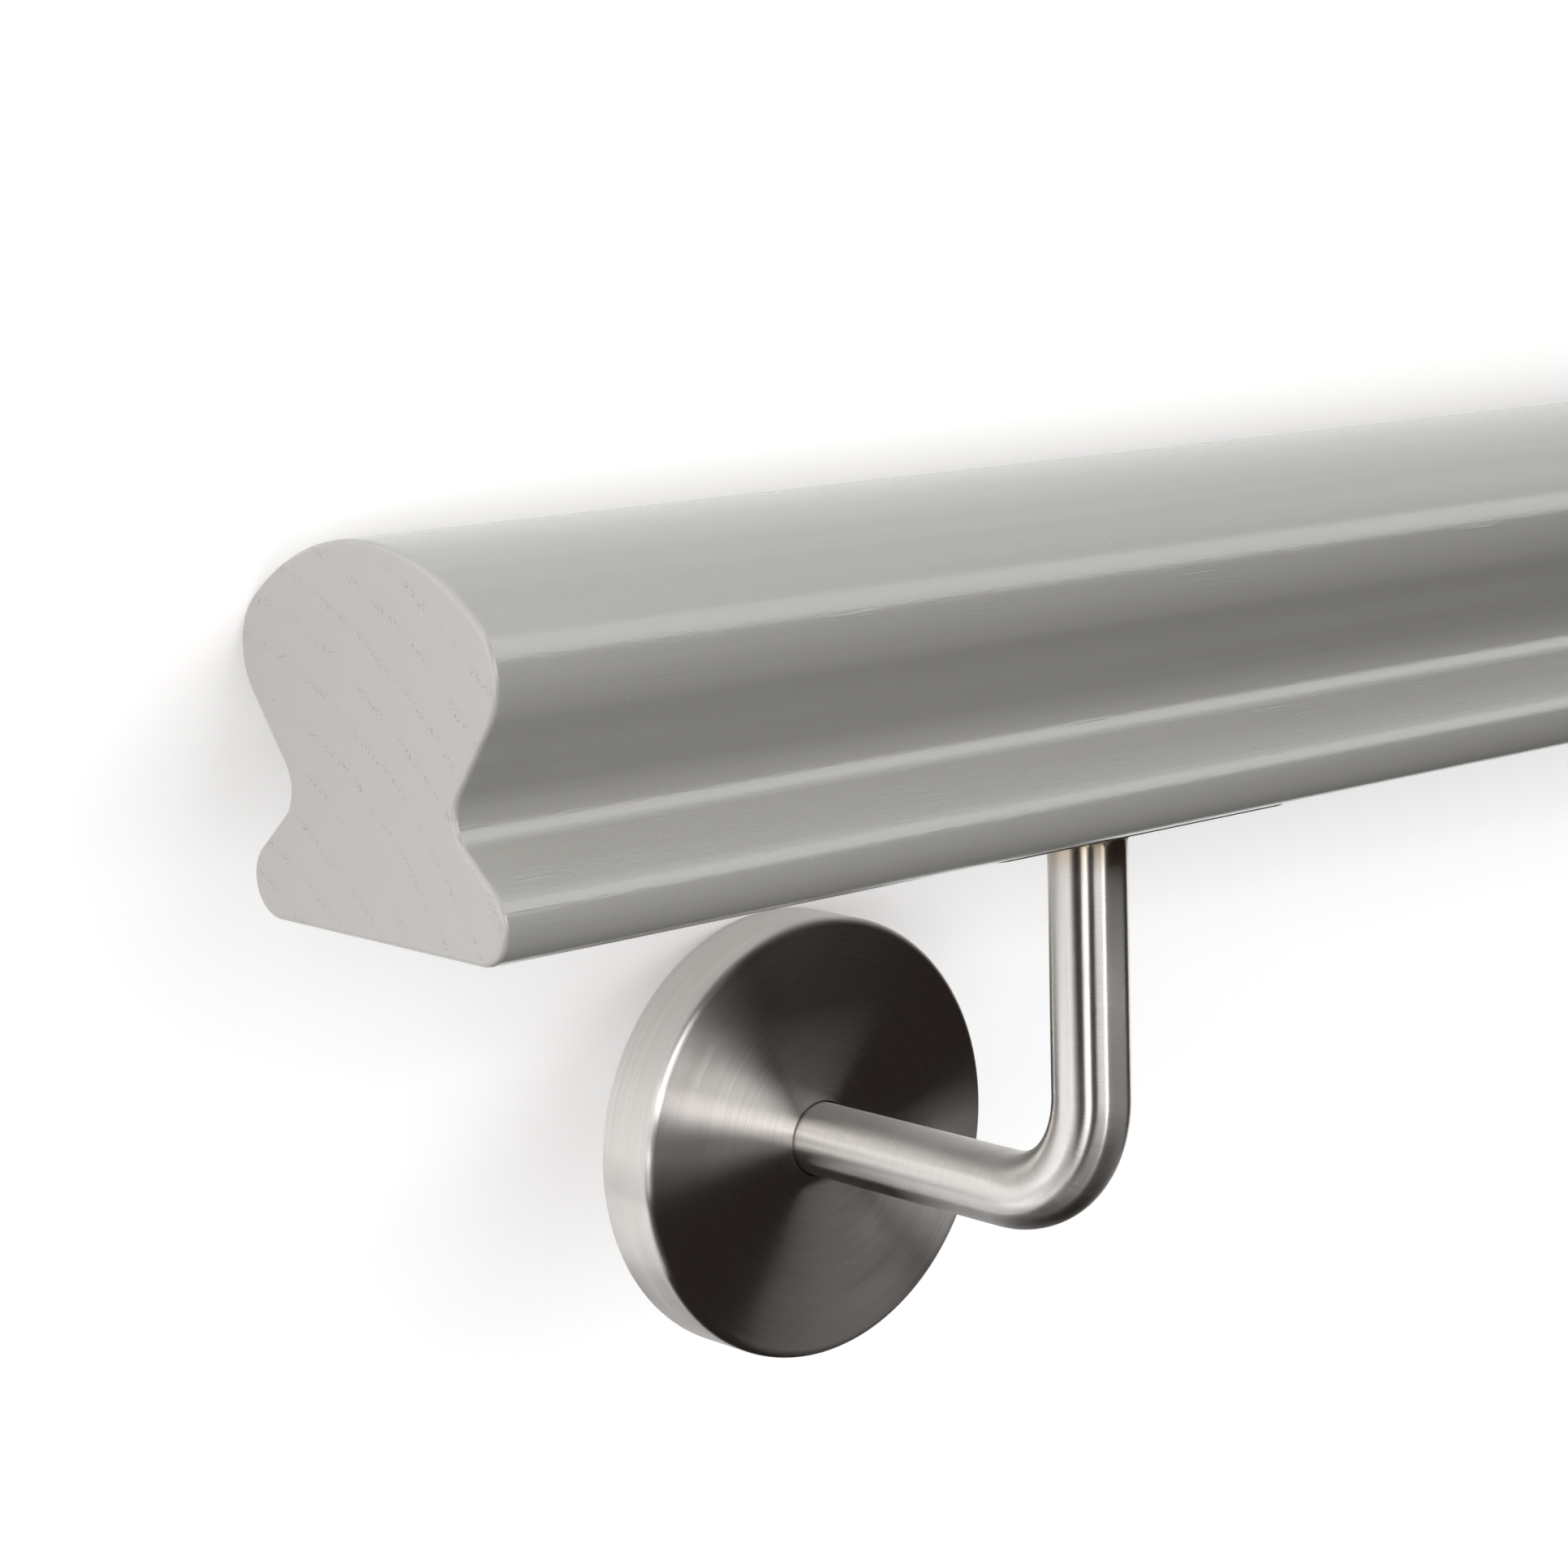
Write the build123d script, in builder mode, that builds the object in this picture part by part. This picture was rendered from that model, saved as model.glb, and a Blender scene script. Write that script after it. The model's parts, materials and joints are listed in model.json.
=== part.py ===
from build123d import *
import os
from math import atan2, cos, degrees, radians, sin, sqrt

# A length of painted stair handrail on two stainless wall brackets.
# It is modelled as it hangs: X runs along the rail, Y points to the wall and Z up.
# The rail's left end is at X = 0, its middle plane at Y = 0 and its foot at Z = 0.
# At the end the whole is laid on its back, as it lies unheld on a level floor.

# Handrail, a moulded stick with a rounded head, a waist and a flared foot
rail_length = 1000.0
rail_width = 54.4
rail_height = 50.9
crown_radius = 37.9
shoulder_radius = 9.3
flank_angle = 37.0
waist_radius = 5.0
flare_angle = 50.0
foot_width = 54.0
foot_radius = 5.3
end_rounding = 0.8

# Bracket arm, a round rod bent once
bracket_inset = 127.6
arm_diameter = 12.0
arm_drop = 62.1
arm_bend_radius = 18.0
wall_distance = 72.6
weld_leg = 2.0

# Saddle plate under the foot of the rail, and its two wood screws
saddle_length = 64.0
saddle_width = 25.0
saddle_thickness = 3.0
saddle_corner = 4.0
saddle_edge = 0.4
screw_spacing = 44.0
screw_diameter = 4.0
screw_head_diameter = 8.0
screw_length = 20.0
screw_tip = 5.0
screw_clearance = 0.25
head_clearance = 0.1
pilot_clearance = 0.05
pilot_run_out = 1.0
recess_span = 4.4
recess_width = 1.1
recess_depth = 1.6

# Wall plate, and the cover rosette pushed over it
plate_thickness = 5.0
plate_edge = 0.5
wall_hole_diameter = 5.5
wall_hole_sink = 10.4
wall_hole_circle = 48.0
wall_hole_count = 3
rosette_diameter = 72.6
rosette_depth = 11.3
rosette_wall = 1.5
rosette_rounding = 1.3
rosette_fit = 0.15
rosette_arm_gap = 0.3

# Places that follow from those sizes
arm_radius = arm_diameter / 2
bracket_places = {"left": bracket_inset, "right": rail_length - bracket_inset}
screw_places = [-screw_spacing / 2, screw_spacing / 2]
saddle_face = Plane(origin=(0, 0, -saddle_thickness), x_dir=(1, 0, 0), z_dir=(0, 0, -1))
wall_face = Plane(origin=(0, wall_distance, -arm_drop), x_dir=(1, 0, 0), z_dir=(0, -1, 0))
plate_front = wall_face.offset(plate_thickness)
on_plane = (Align.CENTER, Align.CENTER, Align.MIN)


def polar(centre, radius, angle):
    """The point of a circle at an angle in degrees, counted from its right side."""
    return centre + Vector(radius * cos(radians(angle)), radius * sin(radians(angle)))


def meeting(start, start_angle, end, end_angle):
    """Where two straight runs meet, each given by a point and an angle in degrees."""
    run = Vector(cos(radians(start_angle)), sin(radians(start_angle)))
    other = Vector(cos(radians(end_angle)), sin(radians(end_angle)))
    apart = end - start
    along = (apart.X * other.Y - apart.Y * other.X) / (run.X * other.Y - run.Y * other.X)
    return start + run * along


# Right half of the rail's section, in the section's own X (to the wall) and Y (up)
crown_centre = Vector(0, rail_height - crown_radius)
shoulder_reach = rail_width / 2 - shoulder_radius
shoulder_rise = sqrt((crown_radius - shoulder_radius) ** 2 - shoulder_reach**2)
shoulder_centre = crown_centre + Vector(shoulder_reach, shoulder_rise)
foot_centre = Vector(foot_width / 2 - foot_radius, foot_radius)
crown_end = degrees(atan2(shoulder_rise, shoulder_reach))
flank_start = polar(shoulder_centre, shoulder_radius, -flank_angle)
flare_end = polar(foot_centre, foot_radius, flare_angle)
waist_corner = meeting(flank_start, 90 - flank_angle, flare_end, 90 + flare_angle)

# Handrail, with the pilot holes of the saddle screws in its foot
with BuildPart() as handrail:
    with BuildSketch(Plane.YZ) as rail_section:
        with BuildLine() as rail_outline:
            CenterArc(crown_centre, crown_radius, 90, crown_end - 90)
            CenterArc(shoulder_centre, shoulder_radius, crown_end, -flank_angle - crown_end)
            Polyline(flank_start, waist_corner, flare_end)
            CenterArc(foot_centre, foot_radius, flare_angle, -flare_angle - 90)
            Line((foot_centre.X, 0), (0, 0))
            mirror(about=Plane.YZ)
        make_face()
        waists = rail_section.vertices().filter_by(
            lambda corner: abs(corner.Y - waist_corner.Y) < foot_radius / 100
        )
        fillet(waists, waist_radius)
    extrude(amount=rail_length)
    fillet(handrail.faces().filter_by(Axis.X).edges(), end_rounding)
    for bracket_x in bracket_places.values():
        for screw_x in screw_places:
            with Locations(Plane(origin=(bracket_x + screw_x, 0, 0), z_dir=(0, 0, -1))):
                Hole(
                    screw_diameter / 2 + pilot_clearance,
                    depth=screw_length - saddle_thickness + pilot_run_out,
                )

# Saddle plate, flat against the foot of the rail
with BuildPart() as saddle_plate:
    with BuildSketch(saddle_face):
        RectangleRounded(saddle_length, saddle_width, saddle_corner)
    extrude(amount=-saddle_thickness)
    chamfer(saddle_plate.faces().sort_by(Axis.Z)[0].edges(), saddle_edge)
    with Locations(saddle_face):
        with GridLocations(screw_spacing, 0, 2, 1):
            CounterSinkHole(
                screw_diameter / 2 + screw_clearance,
                screw_head_diameter / 2 + head_clearance,
                counter_sink_angle=90,
            )

# Saddle screw, countersunk flush into the plate, with a cross recess
head_depth = (screw_head_diameter - screw_diameter) / 2
with BuildPart() as saddle_screw:
    with BuildSketch(Plane(origin=saddle_face.origin, x_dir=(1, 0, 0), z_dir=(0, -1, 0))):
        with BuildLine():
            Polyline(
                (0, 0),
                (screw_head_diameter / 2, 0),
                (screw_diameter / 2, head_depth),
                (screw_diameter / 2, screw_length - screw_tip),
                (0, screw_length),
                close=True,
            )
        make_face()
    revolve(axis=Axis.Z)
    with BuildSketch(saddle_face):
        Rectangle(recess_span, recess_width)
        Rectangle(recess_width, recess_span)
    extrude(amount=-recess_depth, mode=Mode.SUBTRACT)

# Bracket arm, from the saddle plate down and back to the wall plate, welded at both ends
with BuildPart() as arm:
    with BuildLine(Plane.YZ):
        FilletPolyline(
            (0, -saddle_thickness),
            (0, -arm_drop),
            (wall_distance - plate_thickness, -arm_drop),
            radius=arm_bend_radius,
        )
    with BuildSketch(saddle_face):
        Circle(arm_radius)
    sweep()
    for welded_face in (saddle_face, plate_front):
        with Locations(welded_face):
            Cone(arm_radius + weld_leg, arm_radius, weld_leg, align=on_plane)

# Wall plate, a disc with countersunk holes for the screws into the wall
plate_radius = rosette_diameter / 2 - rosette_wall - rosette_fit
with BuildPart() as wall_plate:
    with BuildSketch(wall_face):
        Circle(plate_radius)
    extrude(amount=plate_thickness)
    chamfer(wall_plate.faces().sort_by(Axis.Y)[0].edges(), plate_edge)
    with Locations(plate_front):
        with PolarLocations(wall_hole_circle / 2, wall_hole_count, start_angle=90):
            CounterSinkHole(wall_hole_diameter / 2, wall_hole_sink / 2, counter_sink_angle=90)

# Cover rosette, a drawn cap that hides the wall plate, open towards the wall
with BuildPart() as cover_rosette:
    with BuildSketch(wall_face):
        Circle(rosette_diameter / 2)
    extrude(amount=rosette_depth)
    fillet(cover_rosette.faces().sort_by(Axis.Y)[0].edges(), rosette_rounding)
    with BuildSketch(wall_face):
        Circle(rosette_diameter / 2 - rosette_wall)
    extrude(amount=rosette_depth - rosette_wall, mode=Mode.SUBTRACT)
    with Locations(wall_face.offset(rosette_depth)):
        Hole(arm_radius + rosette_arm_gap)

# Every piece in its place on the wall
pieces = {"handrail": handrail.part}
for side, bracket_x in bracket_places.items():
    at_bracket = Location((bracket_x, 0, 0))
    pieces[f"saddle_plate_{side}"] = saddle_plate.part.moved(at_bracket)
    pieces[f"arm_{side}"] = arm.part.moved(at_bracket)
    pieces[f"wall_plate_{side}"] = wall_plate.part.moved(at_bracket)
    pieces[f"cover_rosette_{side}"] = cover_rosette.part.moved(at_bracket)
    for number, screw_x in enumerate(screw_places, start=1):
        at_screw = Location((bracket_x + screw_x, 0, 0))
        pieces[f"saddle_screw_{side}_{number}"] = saddle_screw.part.moved(at_screw)

# Laid on its back, it rests on the upper rims of the rosettes and on the rail's head.
# The lean is the angle between wall and floor: the least that any part of the section allows.
outline_steps = 1000
rim_height = rosette_diameter / 2 - arm_drop
rail_edge = rail_section.sketch.face().outer_wire()
edge_points = [rail_edge @ (step / outline_steps) for step in range(outline_steps)]
lean = min(degrees(atan2(wall_distance - p.Y, p.Z - rim_height)) for p in edge_points)
on_back = Location((0, 0, 0), (-90 - lean, 0, 0))
laid_box = Compound([piece.moved(on_back) for piece in pieces.values()]).bounding_box()
to_origin = Location((-laid_box.center().X, -laid_box.center().Y, -laid_box.min.Z))

os.makedirs("parts", exist_ok=True)
for name, piece in pieces.items():
    laid = piece.moved(to_origin * on_back)
    laid.label = name
    export_step(laid, f"parts/{name}.step")
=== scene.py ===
import json
from math import atan2, cos, hypot, pi, radians, sin, sqrt, tan
import bmesh
import bpy
from mathutils import Matrix, Vector


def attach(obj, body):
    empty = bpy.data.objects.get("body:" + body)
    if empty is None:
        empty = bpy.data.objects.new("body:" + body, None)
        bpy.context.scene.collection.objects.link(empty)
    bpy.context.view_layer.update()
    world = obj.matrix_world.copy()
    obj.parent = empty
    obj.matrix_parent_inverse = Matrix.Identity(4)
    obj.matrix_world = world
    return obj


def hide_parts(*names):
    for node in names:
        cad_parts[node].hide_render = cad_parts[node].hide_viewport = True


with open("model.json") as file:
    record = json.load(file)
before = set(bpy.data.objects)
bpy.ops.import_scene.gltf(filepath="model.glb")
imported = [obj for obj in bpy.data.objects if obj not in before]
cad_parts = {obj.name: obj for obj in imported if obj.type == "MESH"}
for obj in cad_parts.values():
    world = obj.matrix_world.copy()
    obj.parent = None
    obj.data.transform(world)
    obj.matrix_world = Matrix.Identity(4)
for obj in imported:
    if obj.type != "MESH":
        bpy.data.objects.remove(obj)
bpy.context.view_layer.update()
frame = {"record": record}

# The handrail is one length of timber, planed to a rounded head, a waist and a flared foot
# and sawn square at both ends. Four pilot holes in its foot take the bracket screws. It is
# sprayed all over with satin grey paint, so the grain shows only as fine ripples and pores.
RAIL_LENGTH = 1.0
RAIL_WIDTH = 0.0544
RAIL_HEIGHT = 0.0509
CROWN_RADIUS = 0.0379
SHOULDER_RADIUS = 0.0093
FLANK_ANGLE = radians(37)
WAIST_RADIUS = 0.005
FLARE_ANGLE = radians(50)
FOOT_WIDTH = 0.054
FOOT_RADIUS = 0.0053
END_ROUNDING = 0.0008
END_FLAT = 0.0003
FOOT_FLAT = 0.001
CROWN_STEPS = 24
SHOULDER_STEPS = 44
WAIST_STEPS = 32
FOOT_STEPS = 56
SECTION_CENTRE = 0.024463
BRACKET_INSET = 0.1276
SCREW_SPACING = 0.044
PILOT_RADIUS = 0.00205
PILOT_DEPTH = 0.018
SMOOTH_BELOW = radians(30)
HAIR = 1e-5

bracket_places = {"left": BRACKET_INSET, "right": RAIL_LENGTH - BRACKET_INSET}

# Each piece is shaped where it hangs on the wall: X along the rail from its left end, Y to
# the wall, Z up from the foot. Then it is laid on its back, as the mounts say it is stored.
mounts = {mount["name"]: mount for mount in frame["record"]["mounts"]}
to_wall = Vector(mounts["wall_face_left"]["axis"])
turn_on_back = atan2(to_wall.z, to_wall.y)
lean_back = Matrix.Rotation(turn_on_back, 4, "X")
hung_origin = Vector(mounts["rail_end_left"]["pos_m"]) - lean_back @ Vector((0, 0, SECTION_CENTRE))
laid = Matrix.Translation(hung_origin) @ lean_back


def start_piece(name):
    """Names the primitive just added, sets its place in its mesh and opens it, all selected."""
    piece = bpy.context.active_object
    piece.name = piece.data.name = name
    bpy.ops.object.transform_apply(location=True, rotation=True, scale=True)
    bpy.ops.object.mode_set(mode="EDIT")
    bpy.ops.mesh.select_mode(type="VERT")
    bpy.ops.mesh.select_all(action="SELECT")
    return piece


def pick(piece, kind, wanted):
    """In edit mode, selects just the edges or faces whose middle passes the test."""
    bpy.ops.mesh.select_mode(type=kind)
    bpy.ops.mesh.select_all(action="DESELECT")
    shape = bmesh.from_edit_mesh(piece.data)
    for part in shape.edges if kind == "EDGE" else shape.faces:
        corners = [corner.co for corner in part.verts]
        part.select_set(wanted(sum(corners, Vector()) / len(corners)))
    bmesh.update_edit_mesh(piece.data)


def push(way):
    """Extrudes what is selected by a vector."""
    bpy.ops.mesh.extrude_region_move(TRANSFORM_OT_translate={"value": way})


def turn_outline(steps, centre, turn):
    """Carries the selected points round an axis along X. A positive turn goes from up to -Y."""
    bpy.ops.mesh.spin(steps=steps, angle=turn, center=centre, axis=(-1, 0, 0))


def close_piece():
    """Merges doubled points, turns all faces outwards and smooths what isn't an edge."""
    bpy.ops.mesh.select_all(action="SELECT")
    bpy.ops.mesh.remove_doubles(threshold=HAIR / 10)
    bpy.ops.mesh.normals_make_consistent(inside=False)
    bpy.ops.object.mode_set(mode="OBJECT")
    bpy.ops.object.shade_smooth_by_angle(angle=SMOOTH_BELOW)


def apply_modifier(piece, kind, **settings):
    """Adds a modifier to the piece with these settings and applies it."""
    bpy.ops.object.select_all(action="DESELECT")
    piece.select_set(True)
    bpy.context.view_layer.objects.active = piece
    modifier = piece.modifiers.new(kind.lower(), kind)
    for setting, value in settings.items():
        setattr(modifier, setting, value)
    bpy.ops.object.modifier_apply(modifier=modifier.name)


def cut(piece, cutter):
    """Takes the cutter's shape out of the piece, and removes the cutter."""
    apply_modifier(piece, "BOOLEAN", object=cutter, operation="DIFFERENCE", solver="EXACT")
    bpy.data.objects.remove(cutter)


def copy_piece(piece, name, shift):
    """A copy with a mesh of its own, moved by a vector."""
    bpy.ops.object.select_all(action="DESELECT")
    twin = piece.copy()
    twin.data = piece.data.copy()
    twin.name = twin.data.name = name
    bpy.context.collection.objects.link(twin)
    twin.location = shift
    twin.select_set(True)
    bpy.context.view_layer.objects.active = twin
    bpy.ops.object.transform_apply(location=True)
    return twin


def finish_piece(piece, material, node):
    """Gives a piece its material, lays it on its back and lets it stand for its node."""
    piece.data.materials.clear()
    piece.data.materials.append(material)
    bpy.ops.object.select_all(action="DESELECT")
    piece.select_set(True)
    bpy.context.view_layer.objects.active = piece
    piece.matrix_world = laid
    bpy.ops.object.transform_apply(location=True, rotation=True, scale=True)
    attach(piece, "root")
    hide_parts(node)


# Half of the rail's outline is turned and pushed out from its top point, then mirrored.
crown_centre = Vector((0, 0, RAIL_HEIGHT - CROWN_RADIUS))
shoulder_reach = RAIL_WIDTH / 2 - SHOULDER_RADIUS
shoulder_rise = sqrt((CROWN_RADIUS - SHOULDER_RADIUS) ** 2 - shoulder_reach**2)
crown_sweep = atan2(shoulder_reach, shoulder_rise)
shoulder_centre = crown_centre + Vector((0, -shoulder_reach, shoulder_rise))
foot_centre = Vector((0, FOOT_RADIUS - FOOT_WIDTH / 2, FOOT_RADIUS))
flank_start = shoulder_centre - SHOULDER_RADIUS * Vector((0, cos(FLANK_ANGLE), sin(FLANK_ANGLE)))
flank_way = Vector((0, sin(FLANK_ANGLE), -cos(FLANK_ANGLE)))
flare_end = foot_centre - FOOT_RADIUS * Vector((0, cos(FLARE_ANGLE), -sin(FLARE_ANGLE)))
flare_way = Vector((0, -sin(FLARE_ANGLE), -cos(FLARE_ANGLE)))
apart = flare_end - flank_start
crossing = flank_way.cross(flare_way).x
flank_run = apart.cross(flare_way).x / crossing
flare_run = flank_way.cross(apart).x / crossing
waist_turn = FLANK_ANGLE + FLARE_ANGLE
waist_trim = WAIST_RADIUS * tan(waist_turn / 2)
waist_start = flank_start + (flank_run - waist_trim) * flank_way
waist_centre = waist_start - WAIST_RADIUS * Vector((0, cos(FLANK_ANGLE), sin(FLANK_ANGLE)))

bpy.ops.object.select_all(action="DESELECT")
bpy.ops.mesh.primitive_plane_add(size=RAIL_WIDTH, location=(0, 0, RAIL_HEIGHT))
handrail = start_piece("handrail_timber")
bpy.ops.mesh.merge(type="CENTER")
turn_outline(CROWN_STEPS, crown_centre, crown_sweep)
turn_outline(SHOULDER_STEPS, shoulder_centre, pi / 2 + FLANK_ANGLE - crown_sweep)
push((flank_run - waist_trim) * flank_way)
turn_outline(WAIST_STEPS, waist_centre, -waist_turn)
push((flare_run - waist_trim) * flare_way)
turn_outline(FOOT_STEPS, foot_centre, pi / 2 + FLARE_ANGLE)
push((0, FOOT_FLAT, 0))
push((0, -foot_centre.y - FOOT_FLAT, 0))
bpy.ops.object.mode_set(mode="OBJECT")
apply_modifier(handrail, "MIRROR", use_axis=(False, True, False), merge_threshold=HAIR)
bpy.ops.object.mode_set(mode="EDIT")
bpy.ops.mesh.select_all(action="SELECT")
bpy.ops.mesh.edge_face_add()
end_run = END_ROUNDING + END_FLAT
for run in (end_run, RAIL_LENGTH - 2 * end_run, end_run):
    push((run, 0, 0))
pick(handrail, "EDGE", lambda middle: min(middle.x, RAIL_LENGTH - middle.x) < HAIR)
bpy.ops.mesh.bevel(offset_type="OFFSET", offset=END_ROUNDING, segments=5, affect="EDGES")
pick(handrail, "FACE", lambda middle: min(middle.x, RAIL_LENGTH - middle.x) < HAIR)
bpy.ops.mesh.inset(thickness=END_FLAT, depth=0)
close_piece()
for bracket_x in bracket_places.values():
    for screw_x in (-SCREW_SPACING / 2, SCREW_SPACING / 2):
        bpy.ops.mesh.primitive_cylinder_add(
            vertices=32, radius=PILOT_RADIUS, depth=2 * PILOT_DEPTH, location=(bracket_x + screw_x, 0, 0)
        )
        cut(handrail, bpy.context.active_object)
bpy.ops.object.shade_smooth_by_angle(angle=SMOOTH_BELOW)


def add_node(tree, kind, sockets=None, **settings):
    """Adds a shader node. Its sockets are given by name, each with a value or a link."""
    node = tree.nodes.new("ShaderNode" + kind)
    for setting, value in settings.items():
        setattr(node, setting, value)
    for socket, value in (sockets or {}).items():
        if isinstance(value, bpy.types.NodeSocket):
            tree.links.new(value, node.inputs[socket])
        else:
            node.inputs[socket].default_value = value
    return node


def new_material(name, **finish):
    """A material with its tree and its Principled shader, whose plain sockets are set here."""
    material = bpy.data.materials.new(name)
    material.use_nodes = True
    shader = material.node_tree.nodes["Principled BSDF"]
    for socket, value in finish.items():
        shader.inputs[socket.replace("_", " ").title().replace("Ior", "IOR")].default_value = value
    return material, material.node_tree, shader


def calculate(tree, operation, first, second=0.0, third=0.0):
    """The result of one Math node."""
    return add_node(tree, "Math", {0: first, 1: second, 2: third}, operation=operation).outputs[0]


def blend_colours(tree, share, first, second):
    """The result of one colour Mix node."""
    colours = {0: share, 6: first, 7: second}
    return add_node(tree, "Mix", colours, data_type="RGBA").outputs[2]


def ramp(tree, value, low, high, start=0.0, end=1.0):
    """Start where the value is at its low end, end at its high end, and smoothly between."""
    names = {"Value": value, "From Min": low, "From Max": high, "To Min": start, "To Max": end}
    return add_node(tree, "MapRange", names, interpolation_type="SMOOTHSTEP").outputs["Result"]


def noise(tree, place, scale, detail=2, roughness=0.5):
    """The result of one Noise node."""
    names = {"Vector": place, "Scale": scale, "Detail": detail, "Roughness": roughness}
    return add_node(tree, "TexNoise", names).outputs[0]


def hung_place(tree):
    """Where a point of the piece is as it hangs, from its place as it lies."""
    here = add_node(tree, "TexCoord").outputs["Object"]
    moved = add_node(tree, "VectorMath", {0: here, 1: hung_origin}, operation="SUBTRACT").outputs[0]
    turned = add_node(tree, "VectorRotate", {"Vector": moved, "Angle": -turn_on_back}, rotation_type="X_AXIS")
    return turned.outputs[0]


# Satin paint: a warm grey film over raised grain. The grain lifts it into short fine streaks
# and a few long lines, spraying leaves orange peel and nibs of dust, whose tips are painted
# near white as glints, and the open pores of the growth rings show through on the sawn ends.
PAINT_GREY = (0.425, 0.418, 0.392, 1)
PAINT_DEEP = (0.405, 0.398, 0.372, 1)
PAINT_END = (0.43, 0.413, 0.397, 1)
PORE_GREY = (0.16, 0.15, 0.14, 1)
NIB_GLINT_WHITE = (0.80, 0.80, 0.78, 1)
STREAK_STRETCH = (0.18, 1, 1)
LINE_STRETCH = (0.025, 1, 1)
STREAK_SCALE = 3200
LINE_SCALE = 1600
BAND_SCALE = 260
PATCH_SCALE = 90
PEEL_SCALE = 1500
NIB_SCALE = 160
PITH = (0.0, 0.050, -0.045)
RING_SPACING = 0.0058
RING_WOBBLE = 0.004
WOBBLE_SCALE = 70
BREAK_SCALE = 150
PORE_SCALE = 2200
PORE_TINT = 0.55
NIB_GLINT_TINT = 0.6
STREAK_HEIGHT = 0.000025
LINE_HEIGHT = 0.000018
PEEL_HEIGHT = 0.000012
NIB_HEIGHT = 0.00004
PORE_DEPTH = 0.00006
GLOSS_EVEN = 0.11
GLOSS_STREAKED = 0.12
GLOSS_SAWN = 0.18
GLOSS_ARRIS = 0.08

paint, tree, shader = new_material("satin_grey_paint", specular_ior_level=0.6)
place = hung_place(tree)
short_grain = add_node(tree, "Mapping", {"Vector": place, "Scale": STREAK_STRETCH}).outputs[0]
long_grain = add_node(tree, "Mapping", {"Vector": place, "Scale": LINE_STRETCH}).outputs[0]
streaks = noise(tree, short_grain, STREAK_SCALE, detail=3, roughness=0.6)
lines = noise(tree, long_grain, LINE_SCALE)
bands = noise(tree, long_grain, BAND_SCALE)
patches = noise(tree, place, PATCH_SCALE, detail=1)
peel = noise(tree, place, PEEL_SCALE)
nib_cells = add_node(tree, "TexVoronoi", {"Vector": place, "Scale": NIB_SCALE, "Randomness": 1})
nibs_and_glints = ramp(tree, nib_cells.outputs["Distance"], 0.014, 0.028, 1, 0)
raised = calculate(
    tree, "MULTIPLY", ramp(tree, lines, 0.58, 0.74), ramp(tree, patches, 0.52, 0.62)
)

end_axis = add_node(tree, "SeparateXYZ", {0: place}).outputs[0]
from_end = calculate(tree, "MINIMUM", end_axis, calculate(tree, "SUBTRACT", RAIL_LENGTH, end_axis))
end_mask = ramp(tree, from_end, 0.0001, 0.0003, 1, 0)
side_mask = calculate(tree, "SUBTRACT", 1, end_mask)
section_place = add_node(tree, "VectorMath", {0: place, 1: (0, 1, 1)}, operation="MULTIPLY").outputs[0]
from_pith = add_node(tree, "VectorMath", {0: section_place, 1: PITH}, operation="DISTANCE").outputs["Value"]
wobble = noise(tree, place, WOBBLE_SCALE)
ring_at = calculate(tree, "MULTIPLY_ADD", wobble, RING_WOBBLE, from_pith)
ring_wave = calculate(tree, "FRACT", calculate(tree, "DIVIDE", ring_at, RING_SPACING))
ring_rows = calculate(
    tree, "MULTIPLY", ramp(tree, ring_wave, 0, 0.10), ramp(tree, ring_wave, 0.10, 0.32, 1, 0)
)
broken = noise(tree, place, BREAK_SCALE, detail=1)
ring_rows = calculate(tree, "MULTIPLY", ring_rows, ramp(tree, broken, 0.36, 0.55))
pore_cells = add_node(tree, "TexVoronoi", {"Vector": section_place, "Scale": PORE_SCALE, "Randomness": 1})
pore_dots = ramp(tree, pore_cells.outputs["Distance"], 0.15, 0.38, 1, 0)
pores = calculate(tree, "MULTIPLY", calculate(tree, "MULTIPLY", pore_dots, ring_rows), end_mask)

tone = blend_colours(tree, ramp(tree, bands, 0.3, 0.7), PAINT_DEEP, PAINT_GREY)
tone = blend_colours(tree, end_mask, tone, PAINT_END)
tone = blend_colours(tree, calculate(tree, "MULTIPLY", pores, PORE_TINT), tone, PORE_GREY)
# Each dust nib is raised in the bump below, and its tip is painted near white: a painted glint.
tone = blend_colours(tree, calculate(tree, "MULTIPLY", nibs_and_glints, NIB_GLINT_TINT), tone, NIB_GLINT_WHITE)
tree.links.new(tone, shader.inputs["Base Color"])
gloss = calculate(tree, "MULTIPLY_ADD", streaks, GLOSS_STREAKED, GLOSS_EVEN)
gloss = calculate(tree, "MULTIPLY_ADD", end_mask, GLOSS_SAWN, gloss)
arris = calculate(
    tree, "MULTIPLY", ramp(tree, from_end, 0.0002, 0.0003),
    ramp(tree, from_end, END_ROUNDING, 2 * END_ROUNDING, 1, 0),
)
gloss = calculate(tree, "MULTIPLY_ADD", arris, -GLOSS_ARRIS, gloss)
tree.links.new(gloss, shader.inputs["Roughness"])
height = calculate(tree, "MULTIPLY", streaks, STREAK_HEIGHT)
height = calculate(tree, "MULTIPLY_ADD", raised, LINE_HEIGHT, height)
height = calculate(tree, "MULTIPLY", height, side_mask)
height = calculate(tree, "MULTIPLY_ADD", peel, PEEL_HEIGHT, height)
height = calculate(tree, "MULTIPLY_ADD", nibs_and_glints, NIB_HEIGHT, height)
height = calculate(tree, "MULTIPLY_ADD", pores, -PORE_DEPTH, height)
bump = add_node(tree, "Bump", {"Height": height, "Distance": 1.0, "Strength": 1.0})
tree.links.new(bump.outputs[0], shader.inputs["Normal"])
finish_piece(handrail, paint, "handrail")

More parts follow.
